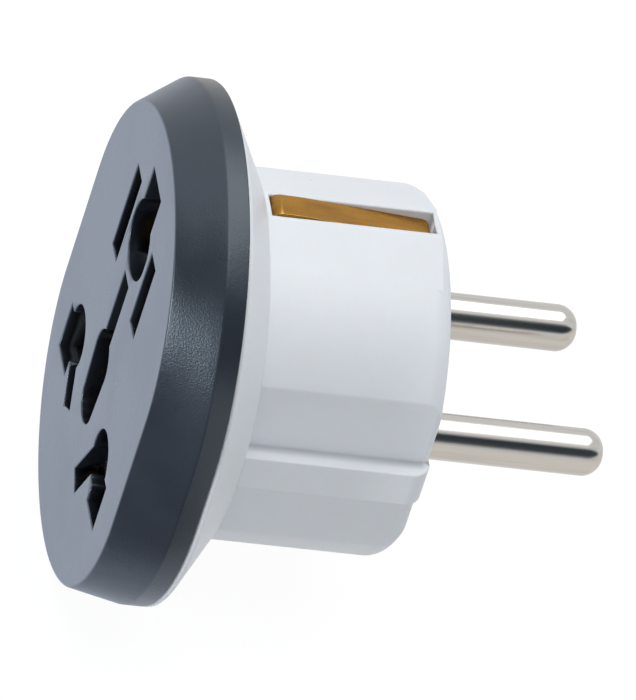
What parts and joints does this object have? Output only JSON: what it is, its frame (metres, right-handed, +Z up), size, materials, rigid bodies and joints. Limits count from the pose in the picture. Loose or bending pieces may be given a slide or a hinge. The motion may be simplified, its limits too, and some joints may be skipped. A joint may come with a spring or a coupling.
{
  "type": "plug adapter",
  "caption": "Universal mains socket to round two-pin earthed plug adapter, with an oval dark front cover, a white round plug body, plated pins and brass earth clips.",
  "frame": {"origin": "centre of the plug's engagement face, midway between the pins", "axes": "+Y out along the pins, +Z up towards the earth hole, +X to the right seen from the socket side"},
  "size_m": [0.0484, 0.0501, 0.0547],
  "materials": {
    "cover_plastic": "fine spark-eroded grain, satin",
    "shell_plastic": "satin moulded white",
    "pin_plating": "polished nickel plate",
    "contact_brass": "as rolled sheet",
    "clip_brass": "rolled sheet with light drag marks",
    "retainer_plastic": "natural moulded",
    "screw_steel": "zinc plated"
  },
  "bodies": {
    "root": {"front_cover": "cover_plastic", "rear_shell": "shell_plastic", "line_pin": "pin_plating", "neutral_pin": "pin_plating", "line_pin_washer": "pin_plating", "neutral_pin_washer": "pin_plating", "line_link": "contact_brass", "neutral_link": "contact_brass", "earth_link": "contact_brass", "line_socket_contact": "contact_brass", "neutral_socket_contact": "contact_brass", "line_blade_contact": "contact_brass", "neutral_blade_contact": "contact_brass", "earth_socket_contact": "contact_brass", "earth_centre_contact": "contact_brass", "line_rivets": "contact_brass", "neutral_rivets": "contact_brass", "earth_rivets": "contact_brass", "upper_earth_clip": "clip_brass", "lower_earth_clip": "clip_brass", "contact_retainer": "retainer_plastic", "retainer_screws": "screw_steel", "closing_screw": "screw_steel"}
  },
  "joints": []
}
